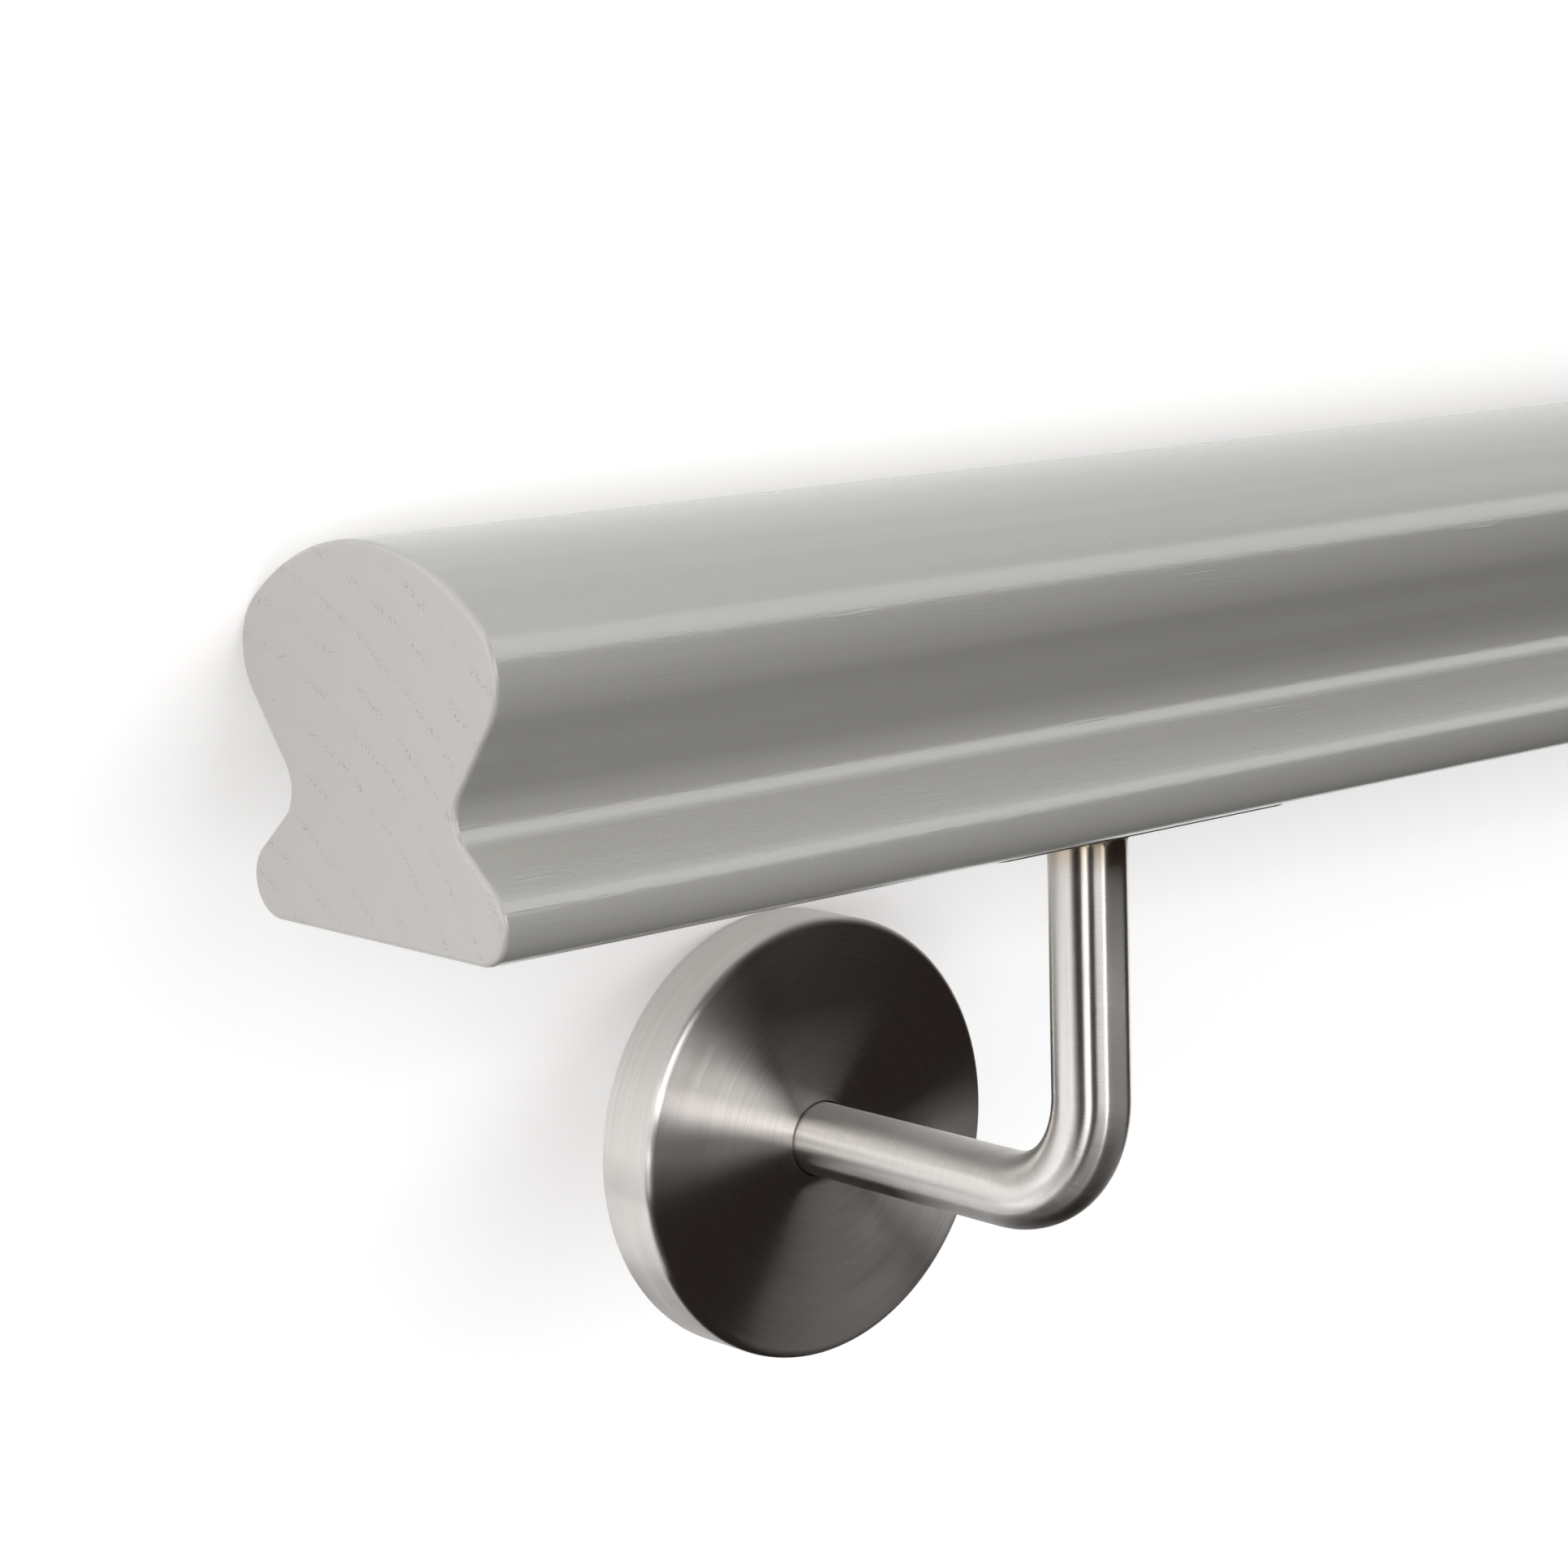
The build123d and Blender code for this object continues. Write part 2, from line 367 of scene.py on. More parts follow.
# Each bracket arm is a solid stainless rod, bent once and welded to the saddle plate above
# and to the wall plate behind. It is ground round and round, so its scratches run round it,
# and the bend keeps the slight flat of the bending die. The welds are small rippled beads.
ARM_RADIUS = 0.006
ARM_DROP = 0.0621
BEND_RADIUS = 0.018
BEND_FLAT = 0.97
WALL_DISTANCE = 0.0726
SADDLE_THICKNESS = 0.003
PLATE_THICKNESS = 0.005
WELD_LEG = 0.002
WELD_BULGE = 0.0002
WELD_STEPS = 5
WELD_RIPPLES = 24
WELD_RIPPLE_HEIGHT = 0.00002
WELD_STRAW = (0.50, 0.40, 0.27, 1)
ROD_SIDES = 192
BEND_STEPS = 40
ROD_LIGHT = (0.74, 0.72, 0.695, 1)
ROD_DEEP = (0.64, 0.62, 0.595, 1)
ROD_FINENESS = 9000
ROD_ROUGHNESS = 0.33
ROD_MARK_DEPTH = 0.0000004
ROD_SMUDGE_SCALE = 60

down = Vector((0, 0, -1))
back = Vector((0, 1, 0))
bend_start = Vector((0, 0, BEND_RADIUS - ARM_DROP))
bend_centre = bend_start + BEND_RADIUS * back
wall_end = WALL_DISTANCE - PLATE_THICKNESS
weld_outline = []
for step in range(WELD_STEPS + 1):
    share = step / WELD_STEPS
    bulge = WELD_BULGE * sin(pi * share)
    weld_outline.append((ARM_RADIUS + WELD_LEG * (1 - share) + bulge, WELD_LEG * share + bulge))


def weld_bead(outline, start, way):
    """Grows a ring of edges along a bead's outline of radii and heights, from a start point."""
    squared = [1 if part else 0 for part in way]
    for (radius, height), (next_radius, next_height) in zip(outline, outline[1:]):
        push((next_height - height) * way)
        size = next_radius / radius
        about = start + next_height * way
        bpy.ops.transform.resize(value=[1 if part else size for part in squared], center_override=about)


def arm_path(point):
    """How far a point is along the rod, and which turn about the rod it is at."""
    straight = bend_start.length - SADDLE_THICKNESS
    if point.z > bend_start.z:
        along, outward = -point.z - SADDLE_THICKNESS, -point.y
    elif point.y > BEND_RADIUS:
        along, outward = straight + BEND_RADIUS * (pi / 2 - 1) + point.y, -ARM_DROP - point.z
    else:
        from_centre = bend_centre - point
        along = straight + BEND_RADIUS * atan2(from_centre.z, from_centre.y)
        outward = hypot(from_centre.y, from_centre.z) - BEND_RADIUS
    return along, atan2(point.x, outward) / (2 * pi)


def lay_uv(piece, path):
    """Gives the piece a UV map of how far along its path a point is, and at which turn."""
    layer = piece.data.uv_layers.new(name="path")
    for face in piece.data.polygons:
        middle = path(face.center)[1]
        for corner in face.loop_indices:
            along, turn = path(piece.data.vertices[piece.data.loops[corner].vertex_index].co)
            layer.data[corner].uv = (along, turn - round(turn - middle))


bpy.ops.object.select_all(action="DESELECT")
bpy.ops.mesh.primitive_circle_add(
    vertices=ROD_SIDES, radius=ARM_RADIUS + WELD_LEG, location=SADDLE_THICKNESS * down
)
arm = start_piece("arm_rod")
weld_bead(weld_outline, SADDLE_THICKNESS * down, down)
push(bend_start + (SADDLE_THICKNESS + WELD_LEG) * -down)
turn_outline(BEND_STEPS, bend_centre, pi / 2)
push((wall_end - WELD_LEG - BEND_RADIUS) * back)
far_outline = [(radius, WELD_LEG - height) for radius, height in reversed(weld_outline)]
weld_bead(far_outline, Vector((0, wall_end - WELD_LEG, -ARM_DROP)), back)
for end in (-SADDLE_THICKNESS, wall_end):
    pick(arm, "EDGE", lambda middle: abs((middle.z if end < 0 else middle.y) - end) < HAIR)
    bpy.ops.mesh.edge_face_add()
bend_middle = bend_centre + BEND_RADIUS * (down - back) / sqrt(2)
pick(arm, "EDGE", lambda middle: abs((middle - bend_centre).dot(back + down)) < HAIR
     and (middle - bend_centre).dot(down - back) > 0)
bpy.ops.transform.resize(
    value=(1, 1, BEND_FLAT), orient_matrix=Matrix.Rotation(pi / 4, 3, "X"), orient_matrix_type="GLOBAL",
    center_override=bend_middle, use_proportional_edit=True, proportional_size=BEND_RADIUS,
)
close_piece()
lay_uv(arm, arm_path)


def place_at_brackets(pattern, material, node):
    """Copies a piece made at the rail's end to both brackets, finishes the copies, drops the first."""
    for side, bracket_x in bracket_places.items():
        twin = copy_piece(pattern, f"{pattern.name}_{side}", (bracket_x, 0, 0))
        finish_piece(twin, material, f"{node}_{side}")
    bpy.data.objects.remove(pattern)


def new_group(name, inputs, outputs):
    """A shader node group with named sockets, and its own input and output nodes."""
    group = bpy.data.node_groups.new(name, "ShaderNodeTree")
    for in_out, sockets in (("INPUT", inputs), ("OUTPUT", outputs)):
        for socket, kind in sockets.items():
            group.interface.new_socket(name=socket, in_out=in_out, socket_type="NodeSocket" + kind)
    return group, group.nodes.new("NodeGroupInput"), group.nodes.new("NodeGroupOutput")


# Round the axis: reads the path map, and gives the way across the grinding marks and a
# place along them that closes on itself.
round_axis, group_in, group_out = new_group(
    "round_the_axis", {"Path": "Vector"}, {"Across": "Float", "Along": "Vector"}
)
path_parts = add_node(round_axis, "SeparateXYZ", {0: group_in.outputs["Path"]})
path_turn = calculate(round_axis, "MULTIPLY", path_parts.outputs[1], 2 * pi)
circle = add_node(round_axis, "CombineXYZ", {
    0: calculate(round_axis, "COSINE", path_turn), 1: calculate(round_axis, "SINE", path_turn),
})
round_axis.links.new(path_parts.outputs[0], group_out.inputs["Across"])
round_axis.links.new(circle.outputs[0], group_out.inputs["Along"])

# Grinding marks: fine lines side by side across their way, long along it, in two sizes.
BROAD_SHARE = 0.12
MARK_ROUGHNESS = 0.65

grinding, group_in, group_out = new_group(
    "grinding_marks",
    {"Across": "Float", "Along": "Vector", "Fineness": "Float"},
    {"Fine": "Float", "Broad": "Float"},
)
along_parts = add_node(grinding, "SeparateXYZ", {0: group_in.outputs["Along"]})
for output, share, detail in (("Fine", 1, 4), ("Broad", BROAD_SHARE, 2)):
    lines = calculate(grinding, "MULTIPLY", group_in.outputs["Across"], group_in.outputs["Fineness"])
    lines = calculate(grinding, "MULTIPLY", lines, share)
    marks_at = add_node(grinding, "CombineXYZ", {
        0: lines, 1: along_parts.outputs[0], 2: along_parts.outputs[1],
    }).outputs[0]
    marks = noise(grinding, marks_at, 1, detail, MARK_ROUGHNESS)
    grinding.links.new(marks, group_out.inputs[output])


# Steel keeps the marks as light and deep tones, as roughness and as fine relief, and has
# faint smudges from handling.
FINE_ROUGH = 0.14
FINE_SMOOTHER = 0.10
BROAD_ROUGH = 0.06
BROAD_RELIEF = 1.5
SMUDGE_ROUGH = 0.05


def steel_tree(tree, shader, marks, light, deep, roughness, depth, smudge_scale):
    """Joins grinding marks and faint smudges to a steel's colour, roughness and bump."""
    here = add_node(tree, "TexCoord").outputs["Object"]
    smudge = noise(tree, here, smudge_scale, 3, 0.55)
    fine, broad = marks.outputs["Fine"], marks.outputs["Broad"]
    tree.links.new(blend_colours(tree, ramp(tree, fine, 0.3, 0.7), deep, light), shader.inputs["Base Color"])
    rough = calculate(tree, "MULTIPLY_ADD", fine, FINE_ROUGH, roughness - FINE_SMOOTHER)
    rough = calculate(tree, "MULTIPLY_ADD", broad, BROAD_ROUGH, rough)
    rough = calculate(tree, "MULTIPLY_ADD", ramp(tree, smudge, 0.4, 0.7), SMUDGE_ROUGH, rough)
    tree.links.new(rough, shader.inputs["Roughness"])
    height = calculate(tree, "MULTIPLY_ADD", broad, BROAD_RELIEF, fine)
    bump = add_node(tree, "Bump", {"Height": height, "Distance": depth, "Strength": 1.0})
    tree.links.new(bump.outputs[0], shader.inputs["Normal"])


def ground_steel(name, fineness, light, deep, roughness, depth, smudge_scale):
    """A steel with its marks across the path map, which blur light along the path."""
    material, tree, shader = new_material(name, metallic=1, anisotropic=1)
    path = add_node(tree, "UVMap", uv_map="path").outputs[0]
    way = add_node(tree, "Group", {"Path": path}, node_tree=round_axis)
    marks = add_node(tree, "Group", {
        "Across": way.outputs["Across"], "Along": way.outputs["Along"], "Fineness": fineness,
    }, node_tree=grinding)
    steel_tree(tree, shader, marks, light, deep, roughness, depth, smudge_scale)
    tangent = add_node(tree, "Tangent", direction_type="UV_MAP", uv_map="path")
    tree.links.new(tangent.outputs[0], shader.inputs["Tangent"])
    return material, tree, shader, path


rod_steel, tree, shader, path = ground_steel(
    "ground_rod_steel", ROD_FINENESS, ROD_LIGHT, ROD_DEEP, ROD_ROUGHNESS, ROD_MARK_DEPTH, ROD_SMUDGE_SCALE
)

# The beads are rippled where each drop of weld set, and the heat left them dull and straw
# yellow, fading along the rod.
BEAD_EDGE = 1.3 * WELD_LEG
HEAT_REACH = 4 * WELD_LEG
HEAT_TINT = 0.75
BEAD_ROUGH = 0.12

rod_run = arm_path(Vector((0, wall_end, -ARM_DROP)))[0]
path_parts = add_node(tree, "SeparateXYZ", {0: path})
from_weld = calculate(
    tree, "MINIMUM", path_parts.outputs[0], calculate(tree, "SUBTRACT", rod_run, path_parts.outputs[0])
)
bead = ramp(tree, from_weld, WELD_LEG, BEAD_EDGE, 1, 0)
heated = ramp(tree, from_weld, WELD_LEG, HEAT_REACH, HEAT_TINT, 0)
tone = blend_colours(tree, heated, shader.inputs["Base Color"].links[0].from_socket, WELD_STRAW)
tree.links.new(tone, shader.inputs["Base Color"])
rough = calculate(tree, "MULTIPLY_ADD", bead, BEAD_ROUGH, shader.inputs["Roughness"].links[0].from_socket)
tree.links.new(rough, shader.inputs["Roughness"])
drops = calculate(tree, "SINE", calculate(tree, "MULTIPLY", path_parts.outputs[1], 2 * pi * WELD_RIPPLES))
ripples = add_node(tree, "Bump", {
    "Height": calculate(tree, "MULTIPLY", drops, bead), "Distance": WELD_RIPPLE_HEIGHT, "Strength": 1.0,
    "Normal": shader.inputs["Normal"].links[0].from_socket,
})
tree.links.new(ripples.outputs[0], shader.inputs["Normal"])
place_at_brackets(arm, rod_steel, "arm")

# Each cover rosette is a cap of thin stainless sheet, open to the wall, with a rolled rim
# and a hole for the rod. It is pushed over the wall plate. Its face and rim are ground on a
# lathe, so light falls on it in fans.
ROSETTE_RADIUS = 0.0363
ROSETTE_DEPTH = 0.0113
ROSETTE_WALL = 0.0015
ROSETTE_ROUNDING = 0.0013
ROSETTE_FLAT = 0.0002
ROSETTE_HOLE = 0.0063
ROSETTE_SIDES = 256
FACE_RINGS = 7
ROSETTE_LIGHT = (0.70, 0.67, 0.645, 1)
ROSETTE_DEEP = (0.58, 0.55, 0.525, 1)
ROSETTE_FINENESS = 6000
ROSETTE_ROUGHNESS = 0.31
ROSETTE_MARK_DEPTH = 0.0000002
ROSETTE_SMUDGE_SCALE = 50

rosette_front = WALL_DISTANCE - ROSETTE_DEPTH
rosette_middle = Vector((0, rosette_front, -ARM_DROP))


def rosette_path(point):
    """How far a point is out over the face and down the rim, and at which turn."""
    out = hypot(point.x, point.z + ARM_DROP)
    return out + point.y - rosette_front, atan2(point.x, point.z + ARM_DROP) / (2 * pi)


bpy.ops.object.select_all(action="DESELECT")
bpy.ops.mesh.primitive_circle_add(
    vertices=ROSETTE_SIDES, radius=ROSETTE_HOLE, location=rosette_middle, rotation=(pi / 2, 0, 0)
)
rosette = start_piece("cover_rosette_cap")
face_edge = ROSETTE_RADIUS - ROSETTE_ROUNDING - ROSETTE_FLAT
ring_width = (face_edge - ROSETTE_HOLE) / FACE_RINGS
face_radii = [ROSETTE_HOLE + ring * ring_width for ring in range(FACE_RINGS + 1)]
for radius, next_radius in zip(face_radii, face_radii[1:] + [ROSETTE_RADIUS]):
    push((0, 0, 0))
    bpy.ops.transform.resize(value=[next_radius / radius] * 3, center_override=rosette_middle)
push((ROSETTE_ROUNDING + ROSETTE_FLAT) * back)
push((ROSETTE_DEPTH - ROSETTE_ROUNDING - ROSETTE_FLAT) * back)
pick(rosette, "EDGE", lambda middle: (middle - rosette_middle).length > ROSETTE_RADIUS - HAIR
     and middle.y - rosette_front < HAIR)
bpy.ops.mesh.bevel(offset_type="OFFSET", offset=ROSETTE_ROUNDING, segments=8, affect="EDGES")
bpy.ops.mesh.select_all(action="SELECT")
bpy.ops.mesh.normals_make_consistent(inside=False)
bpy.ops.object.mode_set(mode="OBJECT")
apply_modifier(rosette, "SOLIDIFY", thickness=ROSETTE_WALL, offset=-1, use_even_offset=True)
bpy.ops.object.shade_smooth_by_angle(angle=SMOOTH_BELOW)
lay_uv(rosette, rosette_path)

rosette_steel = ground_steel(
    "turned_rosette_steel", ROSETTE_FINENESS, ROSETTE_LIGHT, ROSETTE_DEEP, ROSETTE_ROUGHNESS,
    ROSETTE_MARK_DEPTH, ROSETTE_SMUDGE_SCALE,
)[0]
place_at_brackets(rosette, rosette_steel, "cover_rosette")

# Each saddle plate is a strip of flat steel under the rail's foot, sawn, rounded at its
# corners and countersunk for two wood screws. Its face keeps the straight grain of rolling.
SADDLE_LENGTH = 0.064
SADDLE_WIDTH = 0.025
SADDLE_CORNER = 0.004
SADDLE_EDGE = 0.0004
SCREW_BORE = 0.00225
SCREW_SINK = 0.0041
PLATE_LIGHT = (0.56, 0.55, 0.54, 1)
PLATE_DEEP = (0.42, 0.41, 0.40, 1)
PLATE_FINENESS = 5000
PLATE_ROUGHNESS = 0.38
PLATE_MARK_DEPTH = 0.000003
PLATE_SMUDGE_SCALE = 90
PLATE_STRETCH = (40, 60)


def countersink(piece, surface, inward, bore, sink):
    """Drills a hole from a place on the surface, with a sink of 90 degrees at its mouth."""
    sink_depth = sink - bore
    lift = HAIR * 10
    bpy.ops.object.select_all(action="DESELECT")
    bpy.ops.mesh.primitive_circle_add(vertices=48, radius=sink + lift, location=(0, 0, -lift))
    drill = start_piece("drill")
    push((0, 0, sink_depth + lift))
    bpy.ops.transform.resize(value=(bore / (sink + lift),) * 2 + (1,), center_override=(0, 0, sink_depth))
    push((0, 0, 2 * PLATE_THICKNESS))
    for end in (-lift, sink_depth + 2 * PLATE_THICKNESS):
        pick(drill, "EDGE", lambda middle: abs(middle.z - end) < HAIR)
        bpy.ops.mesh.edge_face_add()
    close_piece()
    drill.matrix_world = Matrix.Translation(surface) @ inward.to_track_quat("Z", "X").to_matrix().to_4x4()
    cut(piece, drill)


bpy.ops.object.select_all(action="DESELECT")
bpy.ops.mesh.primitive_cube_add(
    size=1, location=SADDLE_THICKNESS / 2 * down, scale=(SADDLE_LENGTH, SADDLE_WIDTH, SADDLE_THICKNESS)
)
saddle = start_piece("saddle_plate_steel")
pick(saddle, "EDGE", lambda middle: abs(middle.z + SADDLE_THICKNESS / 2) < HAIR)
bpy.ops.mesh.bevel(offset_type="OFFSET", offset=SADDLE_CORNER, segments=8, affect="EDGES")
pick(saddle, "EDGE", lambda middle: abs(middle.z + SADDLE_THICKNESS) < HAIR)
bpy.ops.mesh.bevel(offset_type="OFFSET", offset=SADDLE_EDGE, segments=3, affect="EDGES")
pick(saddle, "FACE", lambda middle: abs(middle.z + SADDLE_THICKNESS) < HAIR)
bpy.ops.mesh.inset(thickness=SADDLE_EDGE / 2, depth=0)
close_piece()
for screw_x in (-SCREW_SPACING / 2, SCREW_SPACING / 2):
    countersink(saddle, Vector((screw_x, 0, -SADDLE_THICKNESS)), -down, SCREW_BORE, SCREW_SINK)
bpy.ops.object.shade_smooth_by_angle(angle=SMOOTH_BELOW)

plate_steel, tree, shader = new_material("rolled_plate_steel", metallic=1)
here = add_node(tree, "SeparateXYZ", {0: hung_place(tree)})
along_plate = add_node(tree, "CombineXYZ", {
    0: calculate(tree, "MULTIPLY", here.outputs[0], PLATE_STRETCH[0]),
    1: calculate(tree, "MULTIPLY", here.outputs[1], PLATE_STRETCH[1]),
}).outputs[0]
across = calculate(tree, "ADD", here.outputs[1], here.outputs[2])
marks = add_node(tree, "Group", {
    "Across": across, "Along": along_plate, "Fineness": PLATE_FINENESS,
}, node_tree=grinding)
steel_tree(
    tree, shader, marks, PLATE_LIGHT, PLATE_DEEP, PLATE_ROUGHNESS, PLATE_MARK_DEPTH, PLATE_SMUDGE_SCALE
)
place_at_brackets(saddle, plate_steel, "saddle_plate")

# The saddle screws are countersunk wood screws, flush in the saddle plate, with a cross
# recess. Their thread cuts into the timber round the pilot hole.
SCREW_LENGTH = 0.020
SCREW_RADIUS = 0.002
SCREW_TIP = 0.005
SCREW_HEAD = 0.004
HEAD_EDGE = 0.00012
RECESS_SPAN = 0.0044
RECESS_WIDTH = 0.0011
RECESS_DEPTH = 0.0016
SCREW_LIGHT = (0.66, 0.66, 0.65, 1)
SCREW_DEEP = (0.55, 0.55, 0.54, 1)
SCREW_FINENESS = 9000
SCREW_ROUGHNESS = 0.24
SCREW_MARK_DEPTH = 0.000002
SCREW_SMUDGE_SCALE = 900

bpy.ops.object.select_all(action="DESELECT")
bpy.ops.mesh.primitive_circle_add(vertices=64, radius=SCREW_HEAD, location=SADDLE_THICKNESS * down)
screw = start_piece("saddle_screw_wood")
for height, radius, before in (
    (SCREW_HEAD - SCREW_RADIUS, SCREW_RADIUS, SCREW_HEAD),
    (SCREW_LENGTH - SCREW_TIP - SCREW_HEAD + SCREW_RADIUS, SCREW_RADIUS, SCREW_RADIUS),
    (SCREW_TIP, HEAD_EDGE, SCREW_RADIUS),
):
    push((0, 0, height))
    bpy.ops.transform.resize(value=(radius / before, radius / before, 1), center_override=(0, 0, 0))
bpy.ops.mesh.edge_face_add()
pick(screw, "EDGE", lambda middle: abs(middle.z + SADDLE_THICKNESS) < HAIR)
bpy.ops.mesh.edge_face_add()
bpy.ops.mesh.bevel(offset_type="OFFSET", offset=HEAD_EDGE, segments=3, affect="EDGES")
close_piece()
bpy.ops.object.select_all(action="DESELECT")
bpy.ops.mesh.primitive_cube_add(
    size=1, location=SADDLE_THICKNESS * down, scale=(RECESS_SPAN, RECESS_WIDTH, 2 * RECESS_DEPTH)
)
cross = start_piece("cross_punch")
bpy.ops.mesh.duplicate()
bpy.ops.transform.rotate(value=pi / 2, orient_axis="Z", center_override=(0, 0, 0))
bpy.ops.object.mode_set(mode="OBJECT")
apply_modifier(screw, "BOOLEAN", object=cross, operation="DIFFERENCE", solver="EXACT", use_self=True)
bpy.data.objects.remove(cross)
bpy.ops.object.shade_smooth_by_angle(angle=SMOOTH_BELOW)

screw_steel, tree, shader = new_material("plated_screw_steel", metallic=1)
here = add_node(tree, "SeparateXYZ", {0: hung_place(tree)})
marks = add_node(tree, "Group", {
    "Across": here.outputs[2], "Along": (0.3, 0.7, 0), "Fineness": SCREW_FINENESS,
}, node_tree=grinding)
steel_tree(
    tree, shader, marks, SCREW_LIGHT, SCREW_DEEP, SCREW_ROUGHNESS, SCREW_MARK_DEPTH, SCREW_SMUDGE_SCALE
)
for number, screw_x in enumerate((-SCREW_SPACING / 2, SCREW_SPACING / 2), start=1):
    for side, bracket_x in bracket_places.items():
        twin = copy_piece(screw, f"saddle_screw_wood_{side}_{number}", (bracket_x + screw_x, 0, 0))
        finish_piece(twin, screw_steel, f"saddle_screw_{side}_{number}")
bpy.data.objects.remove(screw)

# Each wall plate is a disc of the same flat steel, cut round and eased at its front edge,
# with three countersunk holes for the screws that hold the bracket to the wall.
WALL_PLATE_RADIUS = 0.03465
WALL_PLATE_EDGE = 0.0005
WALL_HOLE_RADIUS = 0.00275
WALL_HOLE_SINK = 0.0052
WALL_HOLE_CIRCLE = 0.024
WALL_HOLES = 3

bpy.ops.object.select_all(action="DESELECT")
plate_back = Vector((0, WALL_DISTANCE, -ARM_DROP))
bpy.ops.mesh.primitive_circle_add(
    vertices=128, radius=WALL_PLATE_RADIUS, fill_type="NGON", location=plate_back, rotation=(pi / 2, 0, 0)
)
wall_plate = start_piece("wall_plate_steel")
push(-PLATE_THICKNESS * back)
pick(wall_plate, "EDGE", lambda middle: abs(middle.y - wall_end) < HAIR)
bpy.ops.mesh.bevel(offset_type="OFFSET", offset=WALL_PLATE_EDGE, segments=3, affect="EDGES")
pick(wall_plate, "FACE", lambda middle: abs(middle.y - wall_end) < HAIR)
bpy.ops.mesh.inset(thickness=WALL_PLATE_EDGE / 2, depth=0)
close_piece()
for hole in range(WALL_HOLES):
    turn = pi / 2 + 2 * pi * hole / WALL_HOLES
    around = WALL_HOLE_CIRCLE * Vector((cos(turn), 0, sin(turn)))
    hole_mouth = plate_back - PLATE_THICKNESS * back + around
    countersink(wall_plate, hole_mouth, back, WALL_HOLE_RADIUS, WALL_HOLE_SINK)
bpy.ops.object.shade_smooth_by_angle(angle=SMOOTH_BELOW)
place_at_brackets(wall_plate, plate_steel, "wall_plate")

# The floor is a plain pale sheet that runs out of view. It glows white to the camera and in the
# metal, and ambient occlusion darkens that glow round the rail into a painted soft shadow, tinted
# warm, which the metal also shows as painted shade in its reflections.
FLOOR_SIZE = 30.0
FLOOR_PALE = (0.90, 0.90, 0.90, 1)
FLOOR_SEEN = 0.67
FLOOR_SHOWN = 1.02
PAINTED_SHADOW_REACH = 0.095
PAINTED_SHADOW_WAY = (0.20, 0.88, 0.43)
PAINTED_SHADOW_WARM = (1, 0.93, 0.90, 1)

bpy.ops.object.select_all(action="DESELECT")
bpy.ops.mesh.primitive_plane_add(size=FLOOR_SIZE, location=(0, 0, 0))
floor = bpy.context.active_object
floor.name = "studio_floor"
floor_white, tree, shader = new_material("pale_floor", base_color=FLOOR_PALE, roughness=0.9)
light_path = add_node(tree, "LightPath")
seen = calculate(tree, "MULTIPLY", light_path.outputs["Is Camera Ray"], FLOOR_SEEN)
# Painted shadow: ambient occlusion, looking to one side only, darkens the floor's glow near the rail and
# brackets, twice over where the metal sees it, and turns the glow warm where it is darkened.
painted_shadow_from = add_node(tree, "CombineXYZ", {0: PAINTED_SHADOW_WAY[0], 1: PAINTED_SHADOW_WAY[1], 2: PAINTED_SHADOW_WAY[2]}).outputs[0]
shade = add_node(tree, "AmbientOcclusion", {"Distance": PAINTED_SHADOW_REACH, "Normal": painted_shadow_from}, samples=3)
clear_of_painted_shadow = shade.outputs["AO"]
mirrored = calculate(tree, "MULTIPLY", clear_of_painted_shadow, FLOOR_SHOWN)
mirrored = calculate(tree, "MULTIPLY", mirrored, light_path.outputs["Is Glossy Ray"])
glowing = calculate(tree, "MULTIPLY", calculate(tree, "ADD", seen, mirrored), clear_of_painted_shadow)
tree.links.new(glowing, shader.inputs["Emission Strength"])
glow = blend_colours(tree, clear_of_painted_shadow, PAINTED_SHADOW_WARM, (1, 1, 1, 1))
tree.links.new(glow, shader.inputs["Emission Color"])
floor.data.materials.append(floor_white)

# The studio is a dim room with soft lamps. They are placed by direction as the rail hangs:
# the azimuth turns from the wall to the right end, and the elevation is above the rail. The
# lamps that only show in the metal and the gloss light nothing else.
SKY_SEEN = 1.0
SKY_DIFFUSE = 0.12
SKY_GLOSSY = 0.03
SKY_WARM = (1, 0.80, 0.72, 1)

world = bpy.data.worlds.new("studio")
bpy.context.scene.world = world
world.use_nodes = True
tree = world.node_tree
light_path = add_node(tree, "LightPath")
strength = SKY_DIFFUSE
for ray, level in (("Is Camera Ray", SKY_SEEN), ("Is Glossy Ray", SKY_GLOSSY)):
    strength = calculate(tree, "MULTIPLY_ADD", light_path.outputs[ray], level - SKY_DIFFUSE, strength)
tree.links.new(strength, tree.nodes["Background"].inputs["Strength"])
sky = blend_colours(tree, light_path.outputs["Is Glossy Ray"], (1, 1, 1, 1), SKY_WARM)
tree.links.new(sky, tree.nodes["Background"].inputs["Color"])


def softbox(name, stand, aim, size, brightness, lights=True, shows=True):
    """An area lamp at a place of the hung rail that faces another place of it."""
    bpy.ops.object.light_add(type="AREA")
    lamp = bpy.context.active_object
    lamp.name = name
    lamp.data.shape = "RECTANGLE"
    lamp.data.size, lamp.data.size_y = size
    lamp.data.energy = brightness * pi * size[0] * size[1]
    lamp.visible_camera = False
    lamp.visible_diffuse = lights
    lamp.visible_glossy = shows
    facing = (Vector(stand) - Vector(aim)).to_track_quat("Z", "Y").to_matrix().to_4x4()
    lamp.matrix_world = laid @ Matrix.Translation(stand) @ facing


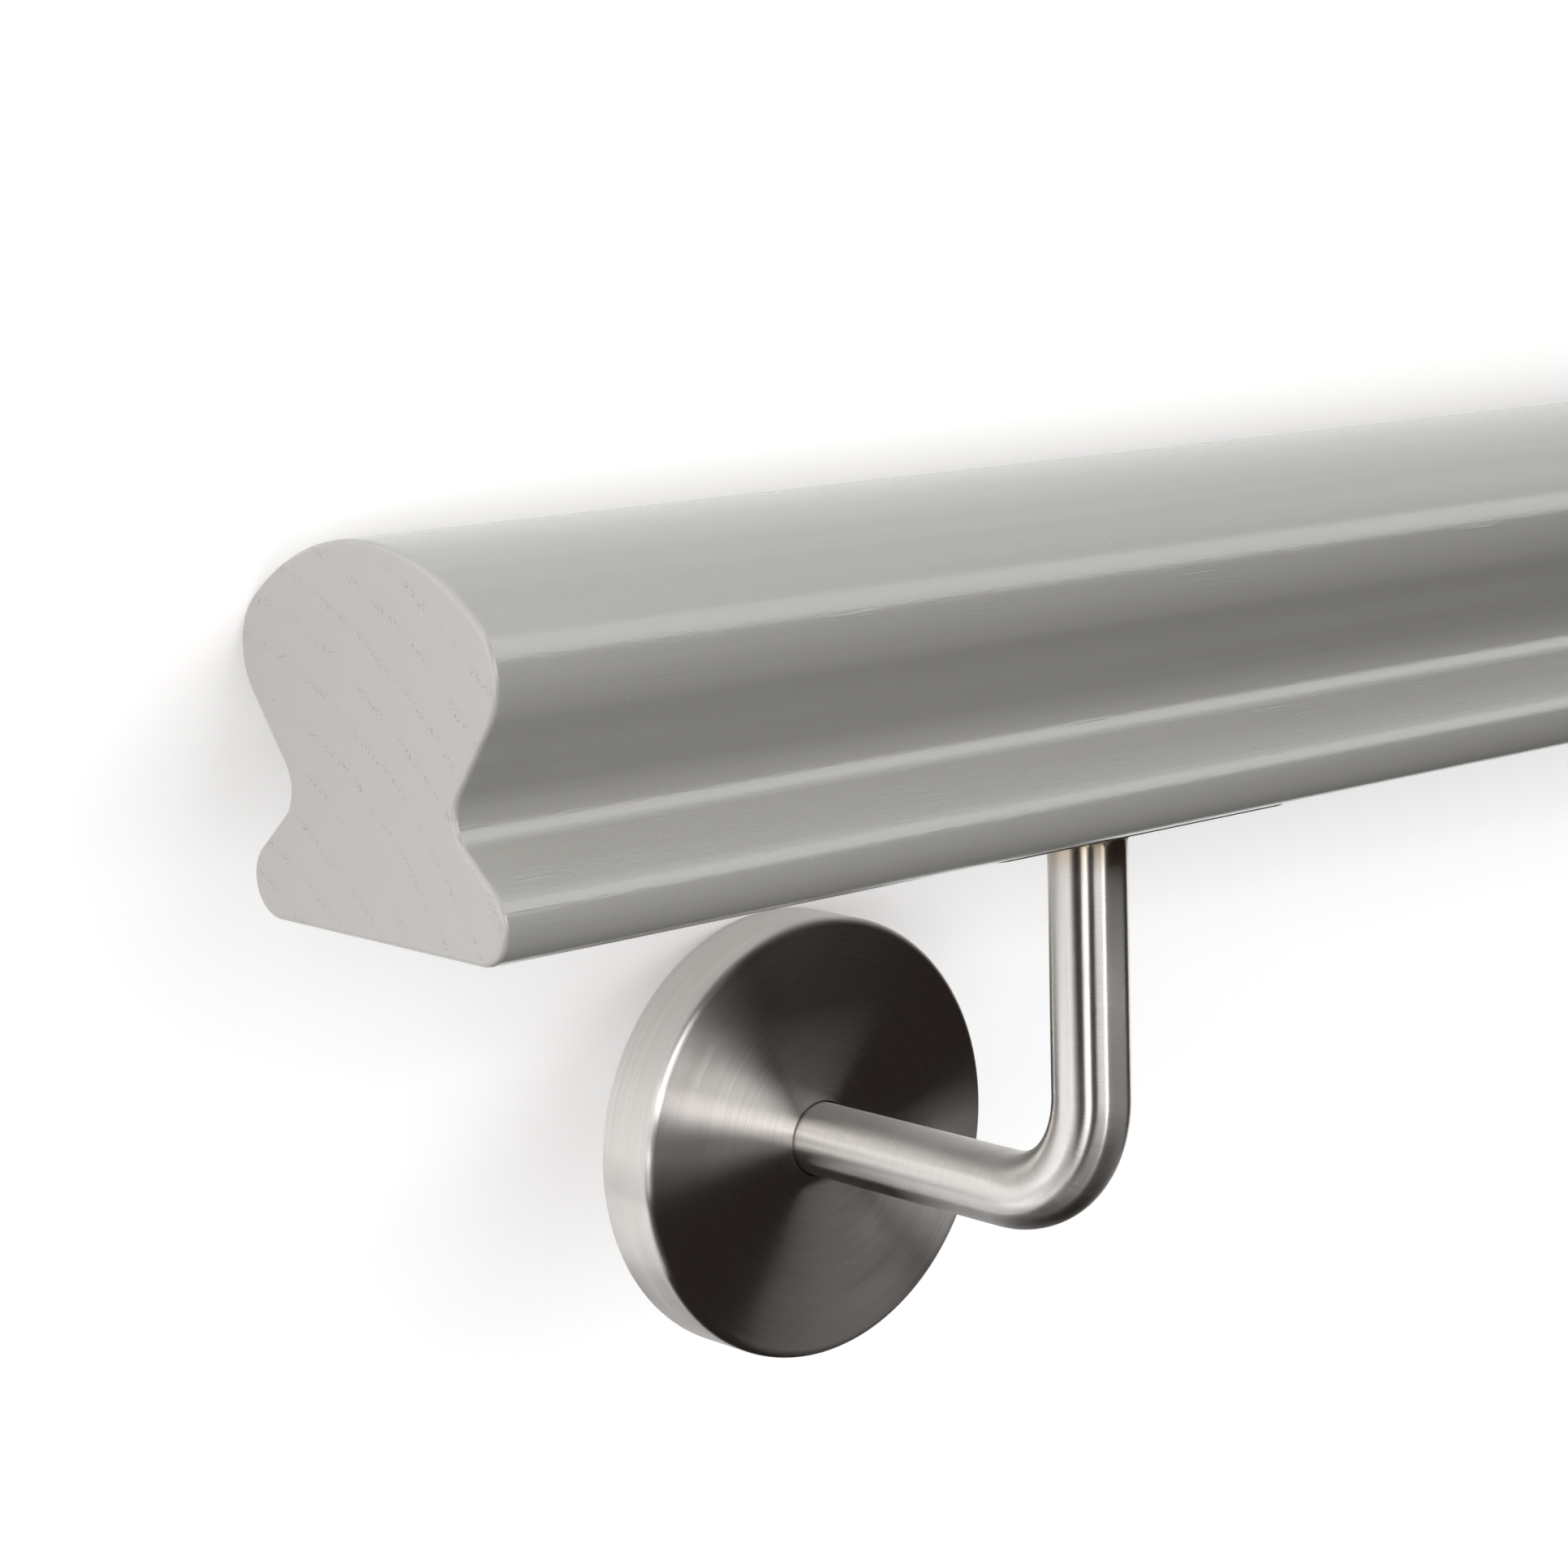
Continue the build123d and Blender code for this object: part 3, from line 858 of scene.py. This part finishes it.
def direction(azimuth, elevation):
    """A unit vector of the hung rail, from angles in degrees."""
    azimuth, elevation = radians(azimuth), radians(elevation)
    return Vector((sin(azimuth) * cos(elevation), cos(azimuth) * cos(elevation), sin(elevation)))


bracket_front = Vector((BRACKET_INSET, 0, -ARM_DROP / 2))
softbox("end_softbox", (-0.9, -0.52, 0.30), (0, 0, 0), (0.9, 0.9), 5.7, shows=False)
softbox("head_softbox", (0.15, -0.72, 0.70), (0.15, 0, 0), (0.9, 0.5), 0.78, shows=False)
softbox("foot_softbox", (0.30, -0.10, -1.30), (0.30, 0, 0), (1.6, 0.8), 0.9, shows=False)
softbox("far_softbox", (2.1, -0.55, 0.10), (RAIL_LENGTH, 0, 0), (0.9, 0.9), 2.6, shows=False)
softbox("long_reflector", (1.45, -0.743, 0.669), (1.45, 0, 0), (2.7, 0.62), 3.0, lights=False)
for name, azimuth, elevation, size, brightness in (
    ("right_reflector", 194, 15, (0.78, 0.64), 5.0),
    ("left_reflector", 236, 0, (0.46, 1.20), 3.0),
    ("end_reflector", 289, -40, (0.40, 0.80), 2.2),
    ("spark_reflector", 182, -2.4, (0.10, 0.10), 50.0),
    ("glint_reflector", 233, -8, (0.12, 0.14), 20.0),
):
    stand = bracket_front + 1.5 * direction(azimuth, elevation)
    softbox(name, stand, bracket_front, size, brightness, lights=False)

# The camera looks at the left bracket from in front and a little above, as the rail hangs.
CAMERA_PLACE = (-0.26427, -0.38254, 0.09784)
CAMERA_YAW = radians(41.03)
CAMERA_PITCH = radians(9.72)
CAMERA_ROLL = radians(-1.80)
CAMERA_LENS = 86.41

bpy.ops.object.camera_add()
camera = bpy.context.active_object
camera.data.lens = CAMERA_LENS
camera.data.sensor_width = 36
camera.data.clip_start = 0.01
gaze = Matrix.Rotation(-CAMERA_YAW, 4, "Z") @ Matrix.Rotation(pi / 2 - CAMERA_PITCH, 4, "X")
camera.matrix_world = laid @ Matrix.Translation(CAMERA_PLACE) @ gaze @ Matrix.Rotation(CAMERA_ROLL, 4, "Z")
bpy.context.scene.camera = camera
bpy.context.scene.view_settings.view_transform = "Standard"
